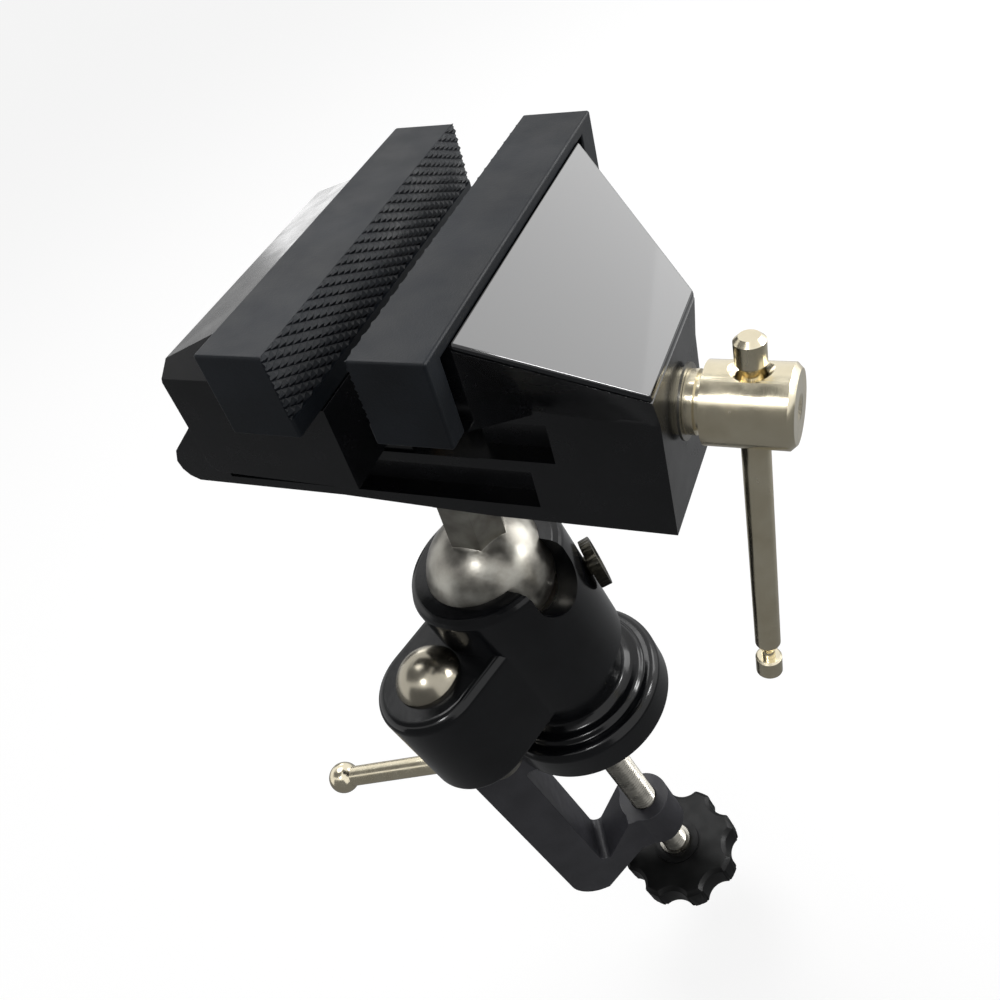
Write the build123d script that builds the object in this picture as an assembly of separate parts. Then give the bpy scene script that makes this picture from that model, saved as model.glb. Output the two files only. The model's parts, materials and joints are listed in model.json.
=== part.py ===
from build123d import *
import os
from math import cos, sin, pi, radians, sqrt

# Bench vise head on a locking ball joint, carried by a small table clamp.
# Millimetres. Row frame: origin on the swivel axis at the table face, +Z up
# the swivel axis, +X level and under the lead screw, towards its handle.

RUN = 0.05            # radial clearance of a running fit
PRESS = 0.02          # radial gap drawn between pressed pieces
PLAY = 0.2            # flat faces that slide past each other

# clamp frame, in its own frame with the spine on -X
CLAMP_AZ = 31.0
ARM_H = 11.2
ARM_R = 13.0
SPINE_IN = -25.0
SPINE_OUT = -39.0
FRAME_W = 14.0
LOW_TOP = -61.0
LOW_BOTTOM = -74.3
HEEL_X = -29.0
BOSS_BOTTOM = -59.5
CORNER_R = 8.0
SCREW_X = -4.0
BOSS_R = 7.8
BOSS_TOP = -44.0
M8_R = 4.0
PAD_R = 8.0
PAD_TOP = -8.0
PAD_BOTTOM = -13.0
PAD_TIP_R = 2.5
KNOB_R = 18.4
KNOB_LOBES = 8
KNOB_TOP = -76.0
KNOB_H = 10.0
INSERT_R = 5.0
INSERT_TOP = -73.8

# swivel base
DISC_R = 23.5
DISC_TOP = 21.7
COLLAR_R = 15.7
COLLAR_TOP = 33.5
HEAD_AF = 13.0
HEAD_H = 5.3

# socket housing
BALL_R = 15.0
BALL_Z = 69.3
HOUSE_R = 19.4
HOUSE_TOP = 74.0
HOUSE_BOTTOM = COLLAR_TOP + 0.1
CUP_R = 13.95
CUP_BOTTOM = 52.5
CUP_TOP = 56.4
CAVITY_BOTTOM = 43.0
NOTCH_AZ = -11.0
NOTCH_R = 7.4
NOTCH_Z = 68.1
LUG_AZ = -111.0
LUG_X = 27.6
LUG_Y = -1.2
LUG_R = 14.0
LUG_TOP = 62.0
LUG_BOTTOM = HOUSE_BOTTOM
LUG_EDGE = 2.5
DOME_R = 8.0
DOME_H = 5.5
LOCK_AZ = -165.0
LOCK_BAR_Z = 25.2
LOCK_BAR_R = 2.6
LOCK_BAR_L = 46.3
LOCK_BALL_R = 4.1
PLUG_R = 2.2
PLUG_Z = 58.9
DRAG_AZ = 36.0
DRAG_Z = 55.0
DRAG_R = 6.3

# head: tilt and turn of the head frame, whose origin is at the fixed jaw's
# gripping face, at the level of the jaw tops, with X along the lead screw
HEAD_AZ = 26.27
HEAD_TILT = 12.49
HEAD_SPIN = -25.77
BALL_X = -14.6
BALL_DROP = -89.0
JAW_W = 75.0
JAW_H = 15.9
GAP = 13.8
CAP_T = 13.4
CAP_FACE = 2.5
CAP_TOP = 2.3
CAP_END = 4.4
TONGUE_Y = JAW_W / 2 - CAP_END - PLAY
TONGUE_Z = -CAP_TOP - 0.05
RAIL_Y = 12.6
RAIL_TOP = -41.5
RAIL_BOTTOM = -56.8
RAIL_RISE = 1.6
RAIL_END = -76.7
STOP_X = -58.0
STOP_TOP = -36.0
GROOVE_TOP = -44.0
GROOVE_BOTTOM = -53.0
GROOVE_D = 4.5
GROOVE_X = 10.2
POCKET_D = 4.4
POCKET_X = 15.6
BLOCK_X = 36.2
WEDGE_Y = 30.4
PLATE_T = 1.2
BODY_Y = 30.0
BODY_REAR = -44.0
LEG_Y = 15.6
LEG_X = -26.0
HOOK_L = 7.5
LEG_TOP = -32.0
LEG_BOTTOM = -47.0
NUT_L = 13.5
NUT_R = 6.5
SCREW_Z = -35.8
SCREW_END = -56.8
LEAD_R = 4.0
BUSH_R = 5.9
WASHER_R = 6.9
HANDLE_R = 7.5
HANDLE_X = 40.7
HANDLE_END = 56.2
BAR_X = 48.5
BAR_R = 2.6
BAR_L = 65.2
BAR_TOP = 3.8
BAR_LEAN = 2.9
BAR_CAP_R = 2.75
NECK_R = 1.4
STUD_R = 5.0
FLANGE_R = 10.5
FLANGE_TOP = RAIL_BOTTOM + 0.9
HEX_AF = 12.4


def box(x0, x1, y0, y1, z0, z1):
    centre = Pos((x0 + x1) / 2, (y0 + y1) / 2, (z0 + z1) / 2)
    return centre * Box(x1 - x0, y1 - y0, z1 - z0)


def rod(r, z0, z1, x=0.0, y=0.0):
    return Pos(x, y, (z0 + z1) / 2) * Cylinder(r, z1 - z0)


def rod_x(r, x0, x1, y=0.0, z=0.0):
    return Pos((x0 + x1) / 2, y, z) * Rot(0, 90, 0) * Cylinder(r, x1 - x0)


def turned(points):
    """Solid of revolution about Z from (radius, height) points."""
    return revolve(Plane.XZ * make_face(Polyline(*points, close=True)), Axis.Z)


def turned_x(points):
    """Solid of revolution about X from (x, radius) points."""
    return revolve(Plane.XY * make_face(Polyline(*points, close=True)), Axis.X)


def slab_y(points, y):
    """Prism between -y and +y from (x, z) points."""
    face = make_face(Polyline(*points, close=True))
    return extrude(Plane.XZ * face, y, both=True)


def hexagon(af, z0, z1):
    face = RegularPolygon(af / sqrt(3), 6)
    return Pos(0, 0, z0) * extrude(face, z1 - z0)


# ---------------------------------------------------------------- table clamp

def clamp_frame():
    outline = [
        (0, ARM_H), (SPINE_OUT, ARM_H), (SPINE_OUT, LOW_BOTTOM), (HEEL_X, LOW_BOTTOM),
        (SCREW_X - BOSS_R, BOSS_BOTTOM), (SCREW_X, BOSS_BOTTOM), (SCREW_X, BOSS_TOP),
        (SCREW_X - BOSS_R + 1, BOSS_TOP),
        (SPINE_IN, LOW_TOP), (SPINE_IN, 0), (0, 0),
    ]
    body = slab_y(outline, FRAME_W / 2)
    outer = body.edges().filter_by(Axis.Y).filter_by_position(Axis.X, SPINE_OUT - 1, SPINE_OUT + 1)
    body = fillet(outer, CORNER_R)
    inner = body.edges().filter_by(Axis.Y).filter_by_position(Axis.X, SPINE_IN - 1, SPINE_IN + 1)
    body = fillet(inner, 2.0)
    body = body + rod(ARM_R, 0, ARM_H)
    body = body + rod(BOSS_R, BOSS_BOTTOM, BOSS_TOP, SCREW_X)
    body = body - rod(M8_R + RUN, LOW_BOTTOM - 1, BOSS_TOP + 1, SCREW_X)
    body = body - rod(M8_R + PRESS, -1, ARM_H + 1)
    return body - rod(HEAD_AF / sqrt(3) + 0.5, -1, HEAD_H + 0.3)


def base_flange():
    body = turned([
        (M8_R + PRESS, ARM_H), (DISC_R - 1, ARM_H), (DISC_R, ARM_H + 1), (DISC_R, DISC_TOP - 2),
        (DISC_R - 1.1, DISC_TOP - 0.4), (DISC_R - 2.4, DISC_TOP), (20, DISC_TOP),
        (19.2, DISC_TOP + 1.2), (COLLAR_R + 1.6, DISC_TOP + 1.6), (COLLAR_R, DISC_TOP + 3),
        (COLLAR_R, COLLAR_TOP), (M8_R + PRESS, COLLAR_TOP),
    ])
    return body


def pivot_bolt():
    head = hexagon(HEAD_AF, 0.3, HEAD_H + 0.3)
    return head + rod(M8_R, HEAD_H, CAVITY_BOTTOM + 8.6)


def pivot_washer():
    z = CAVITY_BOTTOM + 0.1
    return rod(8, z, z + 1.4) - rod(M8_R + 0.2, z - 1, z + 3)


def pivot_nut():
    z = CAVITY_BOTTOM + 1.5
    return hexagon(HEAD_AF, z, z + 6.5) - rod(M8_R + PRESS, z - 1, z + 8)


def clamp_pad():
    body = turned([
        (0, PAD_TOP), (PAD_R - 0.8, PAD_TOP), (PAD_R, PAD_TOP - 0.8), (PAD_R, PAD_TOP - 2.4),
        (5, PAD_BOTTOM), (PAD_TIP_R + RUN, PAD_BOTTOM), (PAD_TIP_R + RUN, PAD_TOP - 1.6),
        (0, PAD_TOP - 1.6),
    ])
    return Pos(SCREW_X, 0, 0) * body


def clamp_screw():
    tip = rod(PAD_TIP_R, PAD_BOTTOM - 1, PAD_TOP - 1.65, SCREW_X)
    return tip + rod(M8_R, KNOB_TOP - 8, PAD_BOTTOM - 0.05, SCREW_X)


def star_knob():
    step = 360 / KNOB_LOBES
    z0 = KNOB_TOP - KNOB_H
    body = rod(KNOB_R, z0, KNOB_TOP)
    scoop = 6.0
    for i in range(KNOB_LOBES):
        body = body - Rot(0, 0, (i + 0.5) * step) * rod(scoop, z0 - 1, KNOB_TOP + 1, KNOB_R + scoop - 2.6)
    body = chamfer(body.faces().sort_by(Axis.Z)[-1].outer_wire().edges(), 1.2)
    body = body + rod(7.5, KNOB_TOP - 1, KNOB_TOP + 1)
    body = body - rod(INSERT_R + PRESS, KNOB_TOP - 8, KNOB_TOP + 3)
    return Pos(SCREW_X, 0, 0) * body


def knob_insert():
    body = rod(INSERT_R, KNOB_TOP - 8, INSERT_TOP) - rod(M8_R + PRESS, KNOB_TOP - 9, INSERT_TOP + 1)
    return Pos(SCREW_X, 0, 0) * body


# -------------------------------------------------------------- socket housing

def at_lug(part):
    return Rot(0, 0, LUG_AZ) * Pos(LUG_X, LUG_Y, 0) * part


def lug():
    side = box(0, LUG_X, LUG_Y - LUG_R, LUG_Y + LUG_R, LUG_BOTTOM, LUG_TOP)
    body = side + rod(LUG_R, LUG_BOTTOM, LUG_TOP, LUG_X, LUG_Y)
    rims = body.edges().filter_by_position(Axis.Z, LUG_TOP - 0.1, LUG_TOP + 0.1)
    rims = rims.filter_by_position(Axis.X, 1, 99)
    body = fillet(rims, LUG_EDGE)
    feet = body.edges().filter_by_position(Axis.Z, LUG_BOTTOM - 0.1, LUG_BOTTOM + 0.1)
    return Rot(0, 0, LUG_AZ) * fillet(feet.filter_by_position(Axis.X, 1, 99), LUG_EDGE / 2)


def socket_housing():
    shell = turned([
        (0, HOUSE_BOTTOM), (COLLAR_R + 0.6, HOUSE_BOTTOM), (HOUSE_R, HOUSE_BOTTOM + 2.2),
        (HOUSE_R, HOUSE_TOP - 2.2), (HOUSE_R - 0.7, HOUSE_TOP - 0.7), (HOUSE_R - 2.2, HOUSE_TOP),
        (0, HOUSE_TOP),
    ])
    body = shell + lug()
    body = body - rod(CUP_R + RUN, CAVITY_BOTTOM, BALL_Z - 4)
    body = body - Pos(0, 0, BALL_Z) * Sphere(BALL_R + RUN)
    body = body - rod(M8_R + RUN, HOUSE_BOTTOM - 1, CAVITY_BOTTOM + 1)
    body = body - Rot(0, 0, NOTCH_AZ) * rod_x(NOTCH_R, 8, 30, 0, NOTCH_Z)
    body = body - Rot(0, 0, NOTCH_AZ) * box(8, 30, -NOTCH_R, NOTCH_R, NOTCH_Z, HOUSE_TOP + 5)
    body = body - at_lug(rod(M8_R + RUN, LUG_BOTTOM - 1, LUG_TOP + 1))
    plug = rod_x(PLUG_R + RUN, CUP_R - 2 - LUG_X, 0, 0, PLUG_Z)
    body = body - at_lug(plug)
    return body - Rot(0, 0, DRAG_AZ) * rod_x(2.5 + RUN, 12, 30, 0, DRAG_Z)


def lug_cap():
    r = (DOME_R ** 2 + DOME_H ** 2) / (2 * DOME_H)
    dome = Pos(0, 0, LUG_TOP + 0.6 + DOME_H - r) * Sphere(r)
    dome = dome & rod(DOME_R, LUG_TOP + 0.6, LUG_TOP + 9)
    return at_lug(dome + rod(DOME_R, LUG_TOP, LUG_TOP + 0.6) + rod(M8_R, LUG_TOP - 1, LUG_TOP + 0.1))


def lock_bolt():
    body = turned([
        (0, LOCK_BAR_Z - 2.9), (5.2, LOCK_BAR_Z - 2.9), (6, LOCK_BAR_Z - 2.1), (6, LUG_BOTTOM - 1),
        (5.2, LUG_BOTTOM - PLAY), (M8_R, LUG_BOTTOM - PLAY), (M8_R, PLUG_Z - 2.9),
        (PLUG_R, PLUG_Z + 1.7), (0, PLUG_Z + 1.7),
    ])
    hole = Rot(0, 0, LOCK_AZ - LUG_AZ) * rod_x(LOCK_BAR_R + PRESS, -4, 8, 0, LOCK_BAR_Z)
    return at_lug(body - hole)


def lock_bar():
    bar = rod_x(LOCK_BAR_R, -3.9, LOCK_BAR_L - 2, 0, LOCK_BAR_Z)
    return at_lug(Rot(0, 0, LOCK_AZ - LUG_AZ) * bar)


def lock_ball():
    ball = Pos(LOCK_BAR_L, 0, LOCK_BAR_Z) * Sphere(LOCK_BALL_R)
    ball = ball - rod_x(LOCK_BAR_R + PRESS, LOCK_BAR_L - 9, LOCK_BAR_L - 1.9, 0, LOCK_BAR_Z)
    return at_lug(Rot(0, 0, LOCK_AZ - LUG_AZ) * ball)


def lock_plug():
    return at_lug(rod_x(PLUG_R, CUP_R - 1 - LUG_X, -M8_R - 0.1, 0, PLUG_Z))


def seat_cup():
    body = turned([
        (0, CUP_BOTTOM), (CUP_R - 1, CUP_BOTTOM), (CUP_R, CUP_BOTTOM + 1), (CUP_R, CUP_TOP),
        (0, CUP_TOP),
    ])
    return body - Pos(0, 0, BALL_Z) * Sphere(BALL_R + RUN)


def drag_screw():
    head = rod_x(DRAG_R, HOUSE_R + 0.5, HOUSE_R + 3.2, 0, DRAG_Z)
    head = chamfer(head.edges(), 0.5)
    return Rot(0, 0, DRAG_AZ) * (head + rod_x(2.5, CUP_R + 0.4, HOUSE_R + 1, 0, DRAG_Z))


# ------------------------------------------------------------------------ head

def in_head(part):
    tilt = Rot(0, 0, HEAD_AZ) * Rot(0, HEAD_TILT, 0) * Rot(0, 0, HEAD_SPIN)
    return Pos(0, 0, BALL_Z) * tilt * Pos(-BALL_X, 0, -BALL_DROP) * part


def ball_stud():
    ball = Pos(BALL_X, 0, BALL_DROP) * Sphere(BALL_R)
    neck = Pos(BALL_X, 0, 0) * hexagon(HEX_AF, BALL_DROP + BALL_R - 3, RAIL_BOTTOM - 4)
    thread = rod(STUD_R, RAIL_BOTTOM - 5, RAIL_BOTTOM + 9.5, BALL_X)
    return ball + neck + thread


def stud_flange():
    body = turned([
        (STUD_R + PRESS, RAIL_BOTTOM - 4), (HEX_AF / 2, RAIL_BOTTOM - 4),
        (FLANGE_R - 1.4, RAIL_BOTTOM - 2.4), (FLANGE_R, RAIL_BOTTOM - 1.8), (FLANGE_R, FLANGE_TOP - 0.02),
        (STUD_R + PRESS, FLANGE_TOP - 0.02),
    ])
    return Pos(BALL_X, 0, 0) * body


def rail():
    low = RAIL_BOTTOM + RAIL_RISE
    body = slab_y([
        (BLOCK_X, RAIL_BOTTOM), (BLOCK_X, RAIL_TOP), (STOP_X, RAIL_TOP), (STOP_X - 0.5, STOP_TOP - 1),
        (STOP_X - 2, STOP_TOP), (STOP_X - 6, STOP_TOP), (RAIL_END + 1.5, low + 8.6), (RAIL_END, low + 5.4),
        (RAIL_END + 0.3, low + 3), (RAIL_END + 1.5, low + 1.2), (RAIL_END + 3.7, low),
        (BALL_X - 20, low), (BALL_X + 14, RAIL_BOTTOM),
    ], RAIL_Y)
    body = body - rod(FLANGE_R + 0.8, RAIL_BOTTOM - 1, FLANGE_TOP, BALL_X)
    for side in (-1, 1):
        y0, y1 = sorted((side * (RAIL_Y - GROOVE_D), side * (RAIL_Y + 1)))
        body = body - box(STOP_X - 5, GROOVE_X, y0, y1, GROOVE_BOTTOM, GROOVE_TOP)
    return body


def wedge():
    """Raised body behind the fixed jaw: wide and high at the jaw, narrow at the handle."""
    front = Plane.YZ.offset(CAP_T + 0.2)
    back = Plane.YZ.offset(BLOCK_X)
    a = front * make_face(Polyline((-WEDGE_Y, -3.1), (WEDGE_Y, -3.1), (RAIL_Y, -29), (-RAIL_Y, -29), close=True))
    b = back * make_face(Polyline((-14.6, -24.4), (14.6, -24.4), (12.2, -32), (-12.2, -32), close=True))
    return loft([a.face(), b.face()], ruled=True)


def vise_body():
    body = rail() + wedge()
    body = body + box(0.1, BLOCK_X, -RAIL_Y, RAIL_Y, RAIL_TOP - 1, -28)
    body = body + box(CAP_FACE + PLAY, CAP_T - 4, -TONGUE_Y, TONGUE_Y, -JAW_H - 1, TONGUE_Z)
    body = body + box(CAP_T - 5, CAP_T + 0.2, -WEDGE_Y, WEDGE_Y, -JAW_H - 1, TONGUE_Z)
    skirt = [(-TONGUE_Y, -JAW_H - PLAY), (TONGUE_Y, -JAW_H - PLAY), (RAIL_Y, -30), (-RAIL_Y, -30)]
    face = Plane.YZ.offset(0.1) * make_face(Polyline(*skirt, close=True))
    body = body + extrude(face, CAP_T + 0.1)
    for side in (-1, 1):
        y0, y1 = sorted((side * (RAIL_Y - POCKET_D), side * (RAIL_Y + 1)))
        body = body - box(-1, POCKET_X, y0, y1, RAIL_TOP + PLAY, -32.3)
    body = body - rod_x(BUSH_R + PRESS, 24, BLOCK_X + 1, 0, SCREW_Z)
    body = body - rod_x(LEAD_R + 0.4, -1, BLOCK_X, 0, SCREW_Z)
    body = body - rod_x(7, -1, 7.9, 0, SCREW_Z)
    return body - rod(STUD_R + PRESS, RAIL_BOTTOM - 1, RAIL_BOTTOM + 10, BALL_X)


def top_plate():
    a = Plane.YZ.offset(CAP_T + 0.2) * make_face(
        Polyline((-WEDGE_Y, -3.05), (WEDGE_Y, -3.05), (WEDGE_Y, -1.8), (-WEDGE_Y, -1.8), close=True))
    b = Plane.YZ.offset(BLOCK_X) * make_face(
        Polyline((-14.6, -24.35), (14.6, -24.35), (14.6, -23), (-14.6, -23), close=True))
    body = loft([a.face(), b.face()], ruled=True)
    nose = body.edges().filter_by(Axis.Y).sort_by(Axis.X)[-2:].sort_by(Axis.Z)[-1]
    return fillet(nose, 1.1)


def jaw_cap():
    body = box(0, CAP_T, -JAW_W / 2, JAW_W / 2, -JAW_H, 0)
    y = JAW_W / 2 - CAP_END
    return body - box(CAP_FACE, CAP_T + 1, -y, y, -JAW_H - 1, -CAP_TOP)


def moving_cap():
    return Pos(-GAP, 0, 0) * mirror(jaw_cap(), Plane.YZ)


def screw_bush():
    return rod_x(BUSH_R, 24.2, 37, 0, SCREW_Z) - rod_x(LEAD_R + RUN, 20, 40, 0, SCREW_Z)


def thrust_washer():
    return rod_x(WASHER_R, 37.05, 37.5, 0, SCREW_Z) - rod_x(LEAD_R + 0.3, 36, 39, 0, SCREW_Z)


def retaining_ring():
    return rod_x(6.2, 6.7, 7.7, 0, SCREW_Z) - rod_x(3.5 + PRESS, 5, 9, 0, SCREW_Z)


def moving_jaw():
    x = -GAP
    outline = [
        (x, -JAW_H - PLAY), (x, -34), (BODY_REAR, -33), (BODY_REAR - 1.5, -31.5), (BODY_REAR - 1.5, -12),
        (BODY_REAR, -8.2), (x - CAP_T - 0.3, -2.6), (x - CAP_T - 0.3, -JAW_H - PLAY),
    ]
    body = slab_y(outline, BODY_Y + 0.3)
    hip = [(22.4, 0), (36, 0), (36, -13.5), (31.8, -13.2), (27, -6.5)]
    for side in (-1, 1):
        face = Plane.YZ.offset(BODY_REAR - 3) * make_face(Polyline(*[(side * y, z) for y, z in hip], close=True))
        body = body - extrude(face, 3 - BODY_REAR + x - CAP_T - 0.25)
    tongue = box(x - CAP_T - 0.4, x - CAP_FACE - PLAY, -TONGUE_Y, TONGUE_Y, -JAW_H - 1, TONGUE_Z)
    body = body + tongue
    body = body + box(x - 13.4, x, -12, 12, RAIL_TOP + PLAY, -33)
    for side in (-1, 1):
        y0, y1 = sorted((side * (RAIL_Y + PLAY), side * LEG_Y))
        body = body + box(BODY_REAR, LEG_X, y0, y1, LEG_BOTTOM, LEG_TOP)
        y0, y1 = sorted((side * (RAIL_Y - GROOVE_D + PLAY), side * (RAIL_Y + 1)))
        body = body + box(LEG_X - HOOK_L, LEG_X, y0, y1, LEG_BOTTOM, GROOVE_TOP - PLAY)
    body = body - rod_x(LEAD_R + 0.4, BODY_REAR - 5, 0, 0, SCREW_Z)
    return body - rod_x(NUT_R + PRESS, x - NUT_L - 0.1, x + 1, 0, SCREW_Z)


def lead_nut():
    x = -GAP
    body = rod_x(NUT_R, x - NUT_L, x - 0.1, 0, SCREW_Z)
    body = body & box(x - NUT_L, x, -NUT_R, NUT_R, RAIL_TOP + PLAY, SCREW_Z + NUT_R)
    return body - rod_x(LEAD_R + RUN, x - NUT_L - 1, x + 1, 0, SCREW_Z)


def lead_screw():
    body = rod_x(LEAD_R, SCREW_END, 37.6, 0, SCREW_Z) + rod_x(3.5, 37, 43.5, 0, SCREW_Z)
    groove = rod_x(LEAD_R + 1, 6.6, 7.8, 0, SCREW_Z) - rod_x(3.5, 6, 9, 0, SCREW_Z)
    return body - groove - head_pin()


def handle_head():
    body = turned_x([
        (37.55, 0), (37.55, 5.8), (39.3, 5.8), (39.3, 5), (HANDLE_X, 5), (HANDLE_X, HANDLE_R),
        (HANDLE_END - 1, HANDLE_R), (HANDLE_END, HANDLE_R - 1), (HANDLE_END, 2.5), (HANDLE_END - 1, 0),
    ])
    body = Pos(0, 0, SCREW_Z) * body
    body = body - rod_x(LEAD_R + PRESS, 30, 37.62, 0, SCREW_Z) - rod_x(3.5 + PRESS, 30, 43.6, 0, SCREW_Z)
    body = body - head_pin()
    bore = rod(BAR_R + 0.06, -12, 12)
    sink = turned([(0, 6.2), (BAR_R, 6.2), (4.4, 8), (4.4, 10), (0, 10)])
    return body - at_bar(bore + sink + Rot(180, 0, 0) * sink)


def head_pin():
    return Pos(40, 0, SCREW_Z) * Rot(90, 0, 0) * Cylinder(0.8, 9.2)


def at_bar(part):
    """Cross bar frame: origin on the lead screw's axis, +Z up along the bar."""
    return Pos(BAR_X, 0, SCREW_Z) * Rot(-BAR_LEAN, 0, 0) * part


def tommy_bar():
    z0 = BAR_TOP - BAR_L
    body = turned([
        (0, z0 - 8), (NECK_R, z0 - 8), (NECK_R, z0 - 2.5), (BAR_R, z0), (BAR_R, BAR_TOP),
        (NECK_R, BAR_TOP + 2.5), (NECK_R, BAR_TOP + 8), (0, BAR_TOP + 8),
    ])
    return at_bar(body)


def bar_cap():
    """End cap over the bar's neck, with its open end at the origin."""
    r = BAR_CAP_R
    body = turned([
        (NECK_R + PRESS, 0), (r - 0.4, 0), (r, 0.4), (r, 4.6), (r - 0.9, 5.5), (0, 5.5), (0, 3.55),
        (NECK_R + PRESS, 3.55),
    ])
    return body


def bar_cap_top():
    return at_bar(Pos(0, 0, BAR_TOP + 4.5) * bar_cap())


def bar_cap_bottom():
    return at_bar(Pos(0, 0, BAR_TOP - BAR_L - 4.5) * Rot(180, 0, 0) * bar_cap())


CLAMP_NODES = [
    clamp_frame, base_flange, pivot_bolt, clamp_pad, clamp_screw, star_knob, knob_insert,
    pivot_washer, pivot_nut,
]
HOUSING_NODES = [
    socket_housing, lug_cap, lock_plug, lock_bolt, lock_bar, lock_ball, drag_screw, seat_cup,
]
HEAD_NODES = [
    ball_stud, stud_flange, vise_body, top_plate, jaw_cap, screw_bush, thrust_washer,
    retaining_ring, moving_jaw, moving_cap, lead_nut, lead_screw, handle_head, head_pin, tommy_bar,
    bar_cap_top, bar_cap_bottom,
]


def write(make, part):
    solids = part.solids()
    solid = solids[0] if len(solids) == 1 else part
    solid.label = make.__name__
    export_step(solid, os.path.join("parts", make.__name__ + ".step"))


os.makedirs("parts", exist_ok=True)
for make in CLAMP_NODES:
    write(make, Rot(0, 0, CLAMP_AZ) * make())
for make in HOUSING_NODES:
    write(make, make())
for make in HEAD_NODES:
    write(make, in_head(make()))
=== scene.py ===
import json
from math import pi, radians

import bpy
from mathutils import Matrix, Vector

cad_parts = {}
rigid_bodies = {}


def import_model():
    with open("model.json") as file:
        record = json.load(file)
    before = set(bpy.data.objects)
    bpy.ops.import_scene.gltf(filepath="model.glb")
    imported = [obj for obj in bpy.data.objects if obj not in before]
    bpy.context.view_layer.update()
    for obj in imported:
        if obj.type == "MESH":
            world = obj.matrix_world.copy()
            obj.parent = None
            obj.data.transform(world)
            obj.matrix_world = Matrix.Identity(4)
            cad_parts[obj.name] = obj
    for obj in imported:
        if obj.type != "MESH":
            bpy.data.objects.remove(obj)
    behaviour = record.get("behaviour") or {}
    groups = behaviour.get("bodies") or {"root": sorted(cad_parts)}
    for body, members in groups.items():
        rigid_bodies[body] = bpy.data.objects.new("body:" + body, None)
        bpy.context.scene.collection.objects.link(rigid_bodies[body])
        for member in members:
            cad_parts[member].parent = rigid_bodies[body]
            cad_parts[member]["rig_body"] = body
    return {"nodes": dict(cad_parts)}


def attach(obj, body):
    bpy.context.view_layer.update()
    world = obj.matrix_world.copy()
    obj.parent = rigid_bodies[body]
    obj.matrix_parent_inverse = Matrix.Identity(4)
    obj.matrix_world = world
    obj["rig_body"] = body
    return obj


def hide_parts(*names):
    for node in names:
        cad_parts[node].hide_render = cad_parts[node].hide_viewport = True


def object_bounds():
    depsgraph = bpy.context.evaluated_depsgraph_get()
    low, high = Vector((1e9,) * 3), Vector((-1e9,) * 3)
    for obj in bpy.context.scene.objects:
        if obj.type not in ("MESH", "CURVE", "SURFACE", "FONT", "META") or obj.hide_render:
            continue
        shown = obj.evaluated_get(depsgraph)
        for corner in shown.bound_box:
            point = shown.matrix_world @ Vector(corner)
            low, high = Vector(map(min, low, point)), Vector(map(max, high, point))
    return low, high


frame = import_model()
cad_low, cad_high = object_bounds()
NODES = frame["nodes"]
MM = 0.001

# Where the vise head stands: X along its lead screw, origin at the fixed jaw's face.
HEAD = (
    Matrix.Translation((0, 0, 69.3 * MM))
    @ Matrix.Rotation(radians(26.27), 4, "Z")
    @ Matrix.Rotation(radians(12.49), 4, "Y")
    @ Matrix.Rotation(radians(-25.77), 4, "Z")
    @ Matrix.Translation((14.6 * MM, 0, 89 * MM))
)
# Where the clamp screw stands, with Z along it, and where the drag screw does.
CLAMP_SCREW = Matrix.Rotation(radians(31), 4, "Z") @ Matrix.Translation((-4 * MM, 0, 0))
DRAG_SCREW = (
    Matrix.Translation((0, 0, 55 * MM))
    @ Matrix.Rotation(radians(36), 4, "Z")
    @ Matrix.Rotation(pi / 2, 4, "Y")
)
SCREW_Z = -35.8       # the lead screw's axis in the head's frame, in millimetres
SCREW_R = 3.98        # both long screws are 8 mm across, less room to run
GAP = 13.8            # between the jaws' faces at rest
KNOB_TRAVEL = 0.031   # how far below its place at rest the clamp's knob can go, in metres


# ------------------------------------------------------------------ materials

def linear(hex_colour):
    """An sRGB hex colour as the linear RGBA that shader sockets take."""
    channels = [int(hex_colour[i:i + 2], 16) / 255 for i in (1, 3, 5)]
    curve = [c / 12.92 if c <= 0.04045 else ((c + 0.055) / 1.055) ** 2.4 for c in channels]
    return (*curve, 1.0)


def add(tree, kind, settings=None, links=None):
    """Adds a node with its settings, socket values and links, and returns it."""
    node = tree.nodes.new(kind)
    for key, value in (settings or {}).items():
        if isinstance(key, str) and hasattr(node, key):
            setattr(node, key, value)
        else:
            node.inputs[key].default_value = value
    for key, source in (links or {}).items():
        tree.links.new(source, node.inputs[key])
    return node


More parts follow.
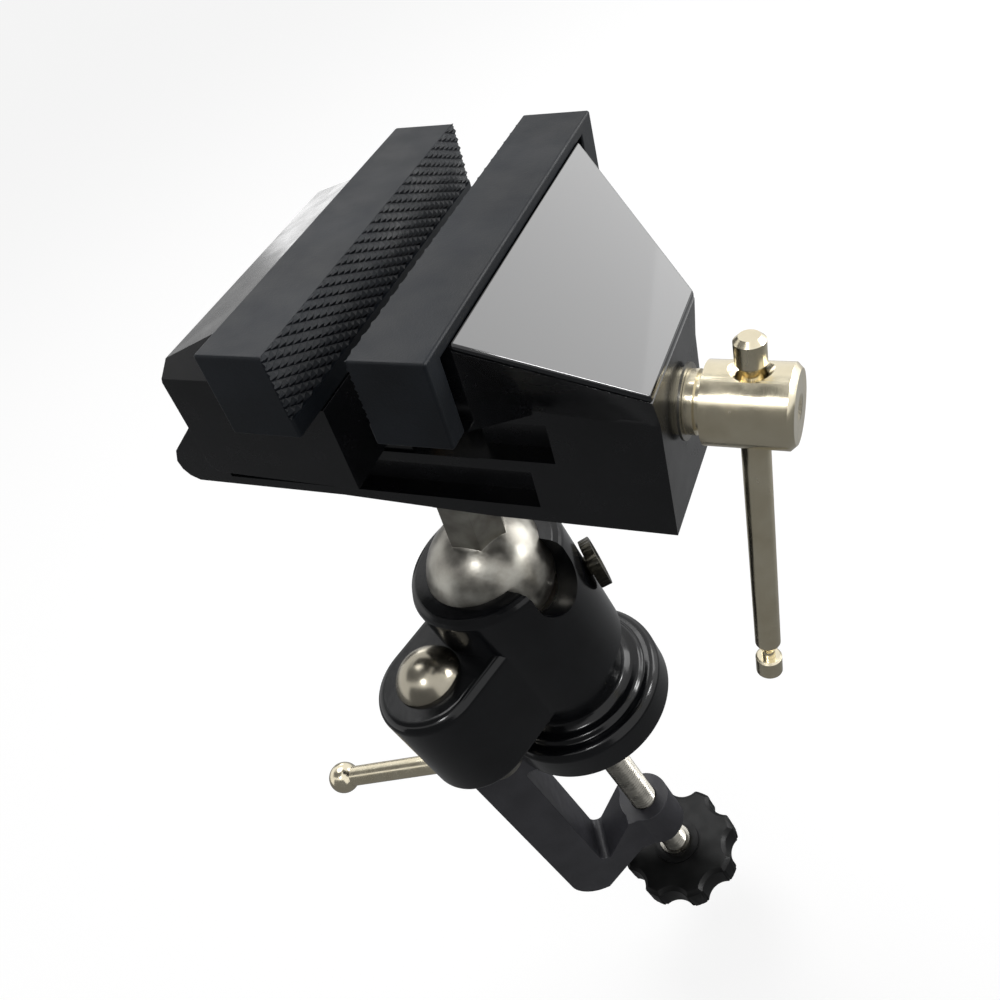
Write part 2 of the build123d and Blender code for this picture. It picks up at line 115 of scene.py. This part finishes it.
def surface(name, sockets, tints, patch, rough, grain=None, along=(1, 1, 1)):
    """A material of one Principled shader, whose tint and roughness drift over the piece.

    tints are hex colours, darkest first, in patches patch millimetres across. rough is the
    lowest and the highest roughness. grain is the width and the height in millimetres of what
    stands proud of the surface. Below 1, along draws the roughness and the grain out that way.
    """
    material = bpy.data.materials.new(name)
    material.use_nodes = True
    tree = material.node_tree
    tree.nodes.clear()
    shader = add(tree, "ShaderNodeBsdfPrincipled", sockets)
    add(tree, "ShaderNodeOutputMaterial", links={"Surface": shader.outputs[0]})
    place = add(tree, "ShaderNodeTexCoord").outputs["Object"]
    drawn = add(tree, "ShaderNodeMapping", {"Scale": along}, {"Vector": place}).outputs[0]

    clouds = add(
        tree, "ShaderNodeTexNoise", {"Scale": 1 / (patch * MM), "Detail": 5.0}, {"Vector": place},
    )
    tint = add(tree, "ShaderNodeValToRGB", links={0: clouds.outputs[0]})
    steps = tint.color_ramp.elements
    for i, colour in enumerate(tints[1:-1], 1):
        steps.new(0.3 + 0.4 * i / (len(tints) - 1)).color = linear(colour)
    steps[0].position, steps[0].color = 0.3, linear(tints[0])
    steps[-1].position, steps[-1].color = 0.7, linear(tints[-1])
    tree.links.new(tint.outputs[0], shader.inputs["Base Color"])

    smears = add(
        tree, "ShaderNodeTexNoise", {"Scale": 2 / (patch * MM), "Detail": 4.0}, {"Vector": drawn},
    )
    dull = add(
        tree, "ShaderNodeMapRange",
        {"From Min": 0.3, "From Max": 0.7, "To Min": rough[0], "To Max": rough[1]},
        {0: smears.outputs[0]},
    )
    tree.links.new(dull.outputs[0], shader.inputs["Roughness"])

    if grain:
        width, height = grain
        grit = add(
            tree, "ShaderNodeTexNoise", {"Scale": 1 / (width * MM), "Detail": 2.0},
            {"Vector": drawn},
        )
        bump = add(tree, "ShaderNodeBump", {"Distance": height * MM}, {"Height": grit.outputs[0]})
        tree.links.new(bump.outputs[0], shader.inputs["Normal"])
    return material


# Gloss powder coat on die-cast aluminium: nearly black, with the faint ripple of orange
# peel 1.5 mm across that makes its highlights waver.
GLOSS = surface(
    "gloss_enamel", {"IOR": 1.42}, ["#0b0c0e", "#121316"], 9, (0.13, 0.2), grain=(1.5, 0.012),
)
# Satin powder coat on cast iron: dark grey, a soft broad highlight, and the grain of
# cured powder, drawn 0.5 mm across so that it shows.
SATIN = surface(
    "satin_enamel", {"IOR": 1.45}, ["#2c2c31", "#38383d"], 7, (0.38, 0.5), grain=(0.5, 0.02),
)
# Semi-gloss stove enamel on the vise castings: black, smooth, with low waves from the
# casting below it.
BODY = surface(
    "cast_body_enamel", {"IOR": 1.42}, ["#0f1012", "#151619"], 12, (0.2, 0.3), grain=(2.5, 0.015),
)
# Black lacquered plate, polished: a clear mirror over black, with drawn-out scuffs that
# only soften the reflection a little.
PLATE = surface(
    "mirror_plate", {"IOR": 1.62}, ["#0e1013", "#131519"], 20, (0.03, 0.07), along=(1, 0.08, 1),
)
# Moulded thermoplastic rubber: dead matt blue-black with a spark-eroded grain of 0.35 mm
# and patches of pale bloom where hands have rubbed it.
RUBBER = surface(
    "jaw_rubber", {"IOR": 1.35}, ["#0a0f15", "#0e141b", "#151b23"], 14, (0.42, 0.56),
    grain=(0.35, 0.03),
)
# Nickel plate over drawn steel: a warm mirror, with drawing lines along the bar.
NICKEL = surface(
    "bright_nickel", {"Metallic": 1.0}, ["#e4d9bd", "#f2e9cf"], 6, (0.14, 0.28),
    grain=(0.4, 0.006), along=(1, 1, 0.05),
)
# Ground and tumbled steel: grey, half matt, mottled where oil has dried on it.
STEEL = surface(
    "ground_steel", {"Metallic": 1.0}, ["#7f7c76", "#99968e", "#b1afa7"], 5, (0.28, 0.42),
    grain=(0.8, 0.02),
)
# Chrome plate on a pressed dome: a near-perfect mirror, slightly warm.
CHROME = surface("cap_chrome", {"Metallic": 1.0}, ["#9f998a", "#aca697"], 8, (0.2, 0.28))
# Bright zinc plate on turned steel: cool silver, half matt, with fine lathe marks.
ZINC = surface(
    "zinc_steel", {"Metallic": 1.0}, ["#75736d", "#98958d"], 4, (0.24, 0.36), grain=(0.3, 0.006),
)
# Turned free-cutting brass, dulled a little by handling.
BRASS = surface("turned_brass", {"Metallic": 1.0}, ["#9c7a3c", "#c9a45e"], 3, (0.26, 0.4))
# Glass-filled nylon from a textured mould: soft black with a 0.4 mm grain.
BLACK = surface(
    "moulded_black", {"IOR": 1.32}, ["#040505", "#070808"], 8, (0.36, 0.48), grain=(0.4, 0.02),
)
# Natural nylon, machined: milky and waxy.
NYLON = surface("natural_nylon", {"IOR": 1.53}, ["#cfc9ba", "#e0dccf"], 6, (0.4, 0.5))
# Black oxide on turned steel: brown-black, with bare metal just showing in places.
OXIDE = surface("black_oxide", {"Metallic": 0.75}, ["#1d1c17", "#3a372d"], 2, (0.3, 0.42))

FINISHES = {
    GLOSS: ["base_flange", "socket_housing"],
    SATIN: ["clamp_frame"],
    BODY: ["vise_body", "moving_jaw"],
    PLATE: ["top_plate"],
    RUBBER: ["jaw_cap", "moving_cap"],
    NICKEL: [
        "handle_head", "tommy_bar", "bar_cap_top", "bar_cap_bottom", "lock_bar", "lock_ball",
        "screw_bush",
    ],
    STEEL: ["ball_stud", "stud_flange"],
    CHROME: ["lug_cap"],
    ZINC: [
        "pivot_bolt", "pivot_washer", "pivot_nut", "clamp_pad", "clamp_screw", "knob_insert",
        "lock_bolt", "lead_screw", "head_pin", "thrust_washer", "retaining_ring",
    ],
    BRASS: ["lead_nut", "lock_plug"],
    BLACK: ["star_knob"],
    NYLON: ["seat_cup"],
    OXIDE: ["drag_screw"],
}


def dress(obj, material):
    """Gives obj that one material."""
    obj.data.materials.clear()
    obj.data.materials.append(material)


for material, names in FINISHES.items():
    for name in names:
        dress(NODES[name], material)


# --------------------------------------------------------------------- shapes

def only(obj):
    """Makes obj the one selected and active object."""
    bpy.ops.object.select_all(action="DESELECT")
    obj.select_set(True)
    bpy.context.view_layer.objects.active = obj


def edit(obj, pick=None):
    """Goes into edit mode with all of obj selected, or only the faces that pick says yes to."""
    only(obj)
    bpy.ops.object.mode_set(mode="EDIT")
    bpy.ops.mesh.select_mode(type="FACE")
    bpy.ops.mesh.select_all(action="SELECT" if pick is None else "DESELECT")
    if pick is not None:
        bpy.ops.object.mode_set(mode="OBJECT")
        for face in obj.data.polygons:
            face.select = pick(face)
        bpy.ops.object.mode_set(mode="EDIT")


def leave():
    """Goes back to object mode."""
    bpy.ops.object.mode_set(mode="OBJECT")


def modify(obj, kind, **settings):
    """Adds a modifier and applies it."""
    only(obj)
    modifier = obj.modifiers.new(kind.lower(), kind)
    for key, value in settings.items():
        setattr(modifier, key, value)
    bpy.ops.object.modifier_apply(modifier=modifier.name)


def settle(obj, where=Matrix()):
    """Stands obj at where, with its place in its mesh and its object at the origin."""
    only(obj)
    obj.matrix_world = where @ obj.matrix_world
    bpy.ops.object.transform_apply(location=True, rotation=True, scale=True)


def joined(first, *others):
    """Puts the other objects into the first one."""
    bpy.ops.object.select_all(action="DESELECT")
    for other in others:
        other.select_set(True)
    first.select_set(True)
    bpy.context.view_layer.objects.active = first
    bpy.ops.object.join()


def shade(obj, angle):
    """Smooths edges that turn by less than angle degrees."""
    only(obj)
    bpy.ops.object.shade_smooth_by_angle(angle=radians(angle))


def stand_for(obj, node, name, material):
    """Names and dresses a piece that replaces a CAD node, and lets it ride where the node did."""
    obj.name = name
    dress(obj, material)
    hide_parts(node)
    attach(obj, NODES[node]["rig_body"])


def merged_copy(node):
    """A copy of a CAD node's mesh, its loose triangles joined, with one face to each flat."""
    copy = NODES[node].copy()
    copy.data = NODES[node].data.copy()
    for key in list(copy.keys()):
        del copy[key]
    copy.parent = None
    bpy.context.scene.collection.objects.link(copy)
    edit(copy)
    bpy.ops.mesh.customdata_custom_splitnormals_clear()
    bpy.ops.mesh.remove_doubles(threshold=0.00001)
    bpy.ops.mesh.dissolve_limited(angle_limit=radians(0.4))
    leave()
    return copy


def eased(node, name, material, width, segments=2, angle=30):
    """A CAD node with its sharp edges rounded by width millimetres, so that they catch light."""
    copy = merged_copy(node)
    modify(
        copy, "BEVEL", width=width * MM, segments=segments, limit_method="ANGLE",
        angle_limit=radians(angle), use_clamp_overlap=True,
    )
    shade(copy, 60)
    modify(copy, "WEIGHTED_NORMAL", weight=100, keep_sharp=True)
    stand_for(copy, node, name, material)


def taken_by(obj, cutter, operation="DIFFERENCE"):
    """Cuts cutter out of obj, or keeps only what lies inside it, and takes the cutter away."""
    modify(obj, "BOOLEAN", object=cutter, operation=operation, solver="EXACT", use_self=True)
    bpy.data.objects.remove(cutter)


def block(x0, x1, y0, y1, z0, z1):
    """A plain box between those millimetres, to cut with."""
    middle = ((x0 + x1) / 2 * MM, (y0 + y1) / 2 * MM, (z0 + z1) / 2 * MM)
    size = ((x1 - x0) * MM, (y1 - y0) * MM, (z1 - z0) * MM)
    bpy.ops.mesh.primitive_cube_add(size=1, location=middle, scale=size)
    settle(bpy.context.object)
    return bpy.context.object


def round_bar(radius, z0, z1, sides=64):
    """A cylinder about Z between two heights in millimetres."""
    bpy.ops.mesh.primitive_cylinder_add(
        vertices=sides, radius=radius * MM, depth=(z1 - z0) * MM,
        location=(0, 0, (z0 + z1) / 2 * MM),
    )
    settle(bpy.context.object)
    return bpy.context.object


def slice_off(obj, point, normal):
    """Cuts away what lies beyond a plane, where its normal points, and closes the cut."""
    edit(obj)
    bpy.ops.mesh.bisect(plane_co=point, plane_no=normal, clear_outer=True, use_fill=True)
    leave()


# ---------------------------------------------------------------- jaw covers

DIAMOND_Y = 1.65      # half the length of a diamond of the knurl, along the jaw
DIAMOND_Z = 0.875     # half its height
KNURL_DEPTH = 0.6
KNURL_FOOT = -12.1    # below this the cover's lip is smooth
KNURL_END = 37.45     # how far the knurl runs each way along the jaw
POINT_SINK = 0.02     # how far a point's base is sunk in the cover


def knurled_field(face_x, towards):
    """Four-sided points in two interleaved rows, tips in the plane x = face_x."""
    height = KNURL_DEPTH + POINT_SINK
    root_x = face_x - towards * height
    bpy.ops.mesh.primitive_cone_add(
        vertices=4, radius1=MM, radius2=0, depth=MM, end_fill_type="NGON",
        location=((face_x + root_x) / 2 * MM, (-KNURL_END - 0.5) * MM, 0.2 * MM),
        rotation=(0, towards * pi / 2, 0), scale=(DIAMOND_Z, DIAMOND_Y, height),
    )
    field = bpy.context.object
    settle(field)
    rows = {"fit_type": "FIXED_COUNT", "use_relative_offset": False, "use_constant_offset": True}
    modify(field, "ARRAY", count=24, constant_offset_displace=(0, 2 * DIAMOND_Y * MM, 0), **rows)
    modify(field, "ARRAY", count=8, constant_offset_displace=(0, 0, -2 * DIAMOND_Z * MM), **rows)
    between = field.copy()
    between.data = field.data.copy()
    bpy.context.scene.collection.objects.link(between)
    between.location = (0, DIAMOND_Y * MM, -DIAMOND_Z * MM)
    settle(between)
    joined(field, between)
    slice_off(field, (0, 0, -0.05 * MM), (0, 0, 1))
    slice_off(field, (0, 0, KNURL_FOOT * MM), (0, 0, -1))
    slice_off(field, (0, KNURL_END * MM, 0), (0, 1, 0))
    slice_off(field, (0, -KNURL_END * MM, 0), (0, -1, 0))
    return field


def jaw_cover(node, name, face_x, towards, swell=0.0):
    """A moulded cover with rounded edges and a knurled face; swell stretches its far end."""
    cover = merged_copy(node)
    settle(cover, HEAD.inverted())
    modify(
        cover, "BEVEL", width=0.5 * MM, segments=3, limit_method="ANGLE", angle_limit=radians(30),
    )
    edit(cover, lambda face: face.center.y > 36.8 * MM)
    bpy.ops.transform.translate(value=(0.3 * swell * MM, swell * MM, 0.3 * swell * MM))
    leave()
    x0, x1 = sorted((face_x + towards, face_x - towards * KNURL_DEPTH))
    taken_by(cover, block(x0, x1, -40, 40, KNURL_FOOT, 2))
    shade(cover, 60)
    modify(cover, "WEIGHTED_NORMAL", weight=100, keep_sharp=True)
    joined(cover, knurled_field(face_x, towards))
    settle(cover, HEAD)
    stand_for(cover, node, name, RUBBER)


# ------------------------------------------------------------------- screws

def threaded(radius, depth, pitch, length):
    """A right-hand thread about Z from z = 0 to length, flat at both ends.

    It is turned from one pitch of its outline, root and crest flats and the flanks between,
    and starts a little more than two pitches low, so that no corner lies in a cut.
    """
    flat, flank = 0.12, 0.38
    turns = int(length / pitch) + 5
    bpy.ops.mesh.primitive_plane_add(size=MM)
    thread = bpy.context.object
    edit(thread)
    bpy.ops.mesh.select_mode(type="VERT")
    bpy.ops.mesh.select_all(action="SELECT")
    bpy.ops.mesh.merge(type="CENTER")
    bpy.ops.transform.translate(value=((radius - depth) * MM, 0, -2.013 * pitch * MM))
    for out, up in ((0, flat), (depth, flank), (0, flat), (-depth, flank)):
        step = {"value": (out * MM, 0, up * pitch * MM)}
        bpy.ops.mesh.extrude_region_move(TRANSFORM_OT_translate=step)
    leave()
    modify(
        thread, "SCREW", angle=2 * pi, screw_offset=pitch * MM, iterations=turns, steps=40,
        render_steps=40,
    )
    edit(thread)
    bpy.ops.mesh.remove_doubles(threshold=1e-6)
    bpy.ops.mesh.fill_holes(sides=0)
    bpy.ops.mesh.select_all(action="SELECT")
    bpy.ops.mesh.normals_make_consistent(inside=False)
    leave()
    taken_by(thread, block(-9, 9, -9, 9, 0, length), "INTERSECT")
    shade(thread, 30)
    return thread


def vise_screw():
    """Lead screw: a 2 mm pitch thread as far as the ring's groove, then the plain journal."""
    start, groove_at = -56.8, 6.6
    screw = threaded(SCREW_R, 0.75, 2.0, groove_at - start)
    screw.location = (0, 0, start * MM)
    settle(screw)
    groove = round_bar(3.5, 6.5, 7.9)
    journal = round_bar(SCREW_R, 7.8, 37.6)
    spigot = round_bar(3.48, 37.5, 43.4)
    joined(screw, groove, journal, spigot)
    axis = Matrix.Translation((0, 0, SCREW_Z * MM)) @ Matrix.Rotation(pi / 2, 4, "Y")
    settle(screw, HEAD @ axis)
    shade(screw, 30)
    stand_for(screw, "lead_screw", "vise_lead_screw", ZINC)


def table_screw():
    """Clamp screw: a 1.25 mm pitch thread with a turned point inside the pad."""
    start, end = -84.0, -13.1
    screw = threaded(SCREW_R, 0.5, 1.25, end - start)
    screw.location = (0, 0, start * MM)
    settle(screw)
    point = round_bar(2.48, -13.3, -9.7)
    joined(screw, point)
    settle(screw, CLAMP_SCREW)
    shade(screw, 30)
    stand_for(screw, "clamp_screw", "table_clamp_screw", ZINC)


def thumb_screw():
    """Drag screw: a fluted rim, a dished face and a plain shank."""
    flutes = 32
    head = round_bar(6.3, 19.9, 22.6, 2 * flutes)
    edit(head, lambda f: f.normal.z > 0.9)
    bpy.ops.mesh.inset(thickness=1.1 * MM, depth=0)
    bpy.ops.mesh.inset(thickness=0.5 * MM, depth=-0.5 * MM)
    bpy.ops.mesh.select_mode(type="VERT")
    bpy.ops.mesh.select_all(action="DESELECT")
    leave()
    for vertex in head.data.vertices:
        on_rim = vertex.index < 4 * flutes
        vertex.select = on_rim and vertex.index // 2 % 2 == 0
    bpy.ops.object.mode_set(mode="EDIT")
    bpy.ops.transform.resize(value=(0.93, 0.93, 1))
    leave()
    modify(
        head, "BEVEL", width=0.12 * MM, segments=1, limit_method="ANGLE", angle_limit=radians(40),
    )
    shank = round_bar(2.5, 14.4, 20.4, 40)
    joined(head, shank)
    settle(head, DRAG_SCREW)
    shade(head, 35)
    stand_for(head, "drag_screw", "thumb_drag_screw", OXIDE)


# --------------------------------------------------------------------- knob

def scalloped_knob():
    """The hand knob with its lobes rounded into waves and softened all round."""
    knob = merged_copy("star_knob")
    settle(knob, CLAMP_SCREW.inverted())
    edit(knob)
    bpy.ops.mesh.select_mode(type="EDGE")
    bpy.ops.mesh.select_all(action="DESELECT")
    bpy.ops.mesh.edges_select_sharp(sharpness=radians(40))
    leave()
    corners = knob.data.vertices
    for edge in knob.data.edges:
        run = corners[edge.vertices[0]].co - corners[edge.vertices[1]].co
        upright = abs(run.z) > 5 * MM and run.xy.length < 0.1 * MM
        edge.select = edge.select and upright
    bpy.ops.object.mode_set(mode="EDIT")
    bpy.ops.mesh.bevel(offset=2.3 * MM, segments=5, affect="EDGES")
    leave()
    modify(
        knob, "BEVEL", width=0.7 * MM, segments=3, limit_method="ANGLE", angle_limit=radians(40),
    )
    settle(knob, CLAMP_SCREW)
    shade(knob, 35)
    stand_for(knob, "star_knob", "scalloped_hand_knob", BLACK)


jaw_cover("jaw_cap", "fixed_jaw_cover", 0, -1, 0.9)
jaw_cover("moving_cap", "moving_jaw_cover", -GAP, 1)
vise_screw()
table_screw()
thumb_screw()
scalloped_knob()
eased("top_plate", "sloping_plate", PLATE, 0.4)
eased("vise_body", "vise_casting", BODY, 0.8, 3)
eased("moving_jaw", "jaw_casting", BODY, 0.5)
eased("clamp_frame", "table_clamp_frame", SATIN, 0.7, 3)
eased("ball_stud", "ball_and_neck", STEEL, 0.4)
eased("socket_housing", "ball_housing", GLOSS, 0.9, 3)
eased("base_flange", "turned_flange", GLOSS, 0.45, 3, 20)
eased("handle_head", "screw_head", NICKEL, 0.25)


# ---------------------------------------------------------------------- stage

def lamp(name, size, power, spot, aim, mirrored_only=False):
    """A square soft box at spot, facing aim; mirrored_only ones only show in gloss."""
    bpy.ops.object.light_add(type="AREA", location=spot)
    box = bpy.context.object
    box.name = name
    box.data.size = size
    box.data.energy = power
    box.rotation_mode = "QUATERNION"
    box.rotation_quaternion = (Vector(aim) - Vector(spot)).to_track_quat("-Z", "Y")
    box.visible_diffuse = not mirrored_only
    box.visible_camera = False


def seen_or_mirrored(tree):
    """1 for rays from the camera, from gloss and through glass, 0 for the rest."""
    path = add(tree, "ShaderNodeLightPath")
    first = add(
        tree, "ShaderNodeMath", {"operation": "MAXIMUM"},
        {0: path.outputs["Is Camera Ray"], 1: path.outputs["Is Glossy Ray"]},
    )
    both = add(
        tree, "ShaderNodeMath", {"operation": "MAXIMUM"},
        {0: first.outputs[0], 1: path.outputs["Is Transmission Ray"]},
    )
    return both.outputs[0]


def floor():
    """A pale floor below the knob's lowest travel; it glows to the camera and keeps shadows."""
    bpy.ops.mesh.primitive_plane_add(size=14, location=(0, 0, cad_low.z - KNOB_TRAVEL))
    plane = bpy.context.object
    plane.name = "floor"
    shade_keeping, white_glow = "#a0a0a0", 0.76
    material = bpy.data.materials.new("pale_floor")
    material.use_nodes = True
    tree = material.node_tree
    tree.nodes.clear()
    matt = add(tree, "ShaderNodeBsdfDiffuse", {"Color": linear("#e0e0e0")})
    dim = add(tree, "ShaderNodeBsdfDiffuse", {"Color": linear(shade_keeping)})
    glow = add(tree, "ShaderNodeEmission", {"Color": linear("#ffffff"), "Strength": white_glow})
    both = add(tree, "ShaderNodeAddShader", links={0: dim.outputs[0], 1: glow.outputs[0]})
    mixed = add(
        tree, "ShaderNodeMixShader",
        links={0: seen_or_mirrored(tree), 1: matt.outputs[0], 2: both.outputs[0]},
    )
    add(tree, "ShaderNodeOutputMaterial", links={"Surface": mixed.outputs[0]})
    dress(plane, material)


def sky():
    """White to the camera and in reflections, and a plain soft light on the object."""
    seen, shed = 1.0, 0.42
    world = bpy.context.scene.world or bpy.data.worlds.new("studio")
    bpy.context.scene.world = world
    world.use_nodes = True
    tree = world.node_tree
    tree.nodes.clear()
    white = add(tree, "ShaderNodeBackground", {"Color": linear("#ffffff"), "Strength": seen})
    soft = add(tree, "ShaderNodeBackground", {"Color": linear("#ffffff"), "Strength": shed})
    mixed = add(
        tree, "ShaderNodeMixShader",
        links={0: seen_or_mirrored(tree), 1: soft.outputs[0], 2: white.outputs[0]},
    )
    add(tree, "ShaderNodeOutputWorld", links={"Surface": mixed.outputs[0]})


def flag(name, size, spot, turn, levels=(0.24, 0.9)):
    """A card that only gloss sees, from the first level in front to the second at the back."""
    front, back = 0.02, 0.5
    bpy.ops.mesh.primitive_plane_add(size=1, location=spot, rotation=turn)
    card = bpy.context.object
    card.name = name
    card.scale = (*size, 1)
    material = bpy.data.materials.new(name)
    material.use_nodes = True
    tree = material.node_tree
    tree.nodes.clear()
    where = add(tree, "ShaderNodeNewGeometry").outputs["Position"]
    depth = add(tree, "ShaderNodeSeparateXYZ", links={0: where}).outputs["Y"]
    level = add(
        tree, "ShaderNodeMapRange",
        {"From Min": front, "From Max": back, "To Min": levels[0], "To Max": levels[1]},
        {0: depth},
    )
    glow = add(
        tree, "ShaderNodeEmission", {"Color": linear("#dedfe0")}, {"Strength": level.outputs[0]},
    )
    add(tree, "ShaderNodeOutputMaterial", links={"Surface": glow.outputs[0]})
    dress(card, material)
    card.visible_camera = False
    card.visible_diffuse = False
    card.visible_shadow = False
    card.visible_transmission = False


def camera():
    """The view, by focal length and by the matrix that stands it in the room."""
    data = bpy.data.cameras.new("view")
    data.sensor_width = 36.0
    data.lens = 35.4775
    data.clip_start = 0.01
    data.clip_end = 60.0
    eye = bpy.data.objects.new("view", data)
    bpy.context.scene.collection.objects.link(eye)
    eye.matrix_world = Matrix((
        (0.839742, 0.036206, 0.541776, 0.125994),
        (0.325498, 0.765058, -0.555642, -0.114024),
        (-0.434607, 0.642943, 0.630667, 0.222488),
        (0, 0, 0, 1),
    ))
    bpy.context.scene.camera = eye


bpy.context.scene.view_settings.view_transform = "Standard"
sky()
floor()
# Each flag has its width and height in metres, where it stands and how it is turned.
flag("floor_flag", (3, 2.1), (0, -0.5, cad_low.z), (0, 0, 0))
flag("front_flag", (3, 1.6), (0, -1.55, 0.7), (radians(90), 0, 0))
flag("ceiling_flag", (2.2, 1.8), (-0.9, 0, 1.4), (0, 0, 0))
flag("rear_flag", (0.3, 0.2), (-0.68, 0.42, 0.05), (radians(90), 0, radians(58)), (0.06, 0.06))
# Each lamp has its size in metres, its watts, where it hangs and what it faces.
lamp("window", 0.5, 3.2, (0.6, 0.83, 0.35), (0.05, 0.01, 0.136))
lamp("overhead", 0.5, 3.0, (-0.3, 0.35, 0.9), (0, 0, 0.08))
lamp("catch", 0.14, 1.5, (0.1, -0.5, 0.9), (0, 0, 0.08), True)
lamp("side_window", 0.15, 2.6, (0.72, 0.29, 0.29), (0, 0, 0.09), True)
lamp("low_window", 0.3, 0.14, (0.36, 0.36, 0.04), (0, 0, 0.07), True)
lamp("rear_window", 0.14, 0.14, (-0.42, 0.48, 0.17), (0, 0, 0.13), True)
camera()
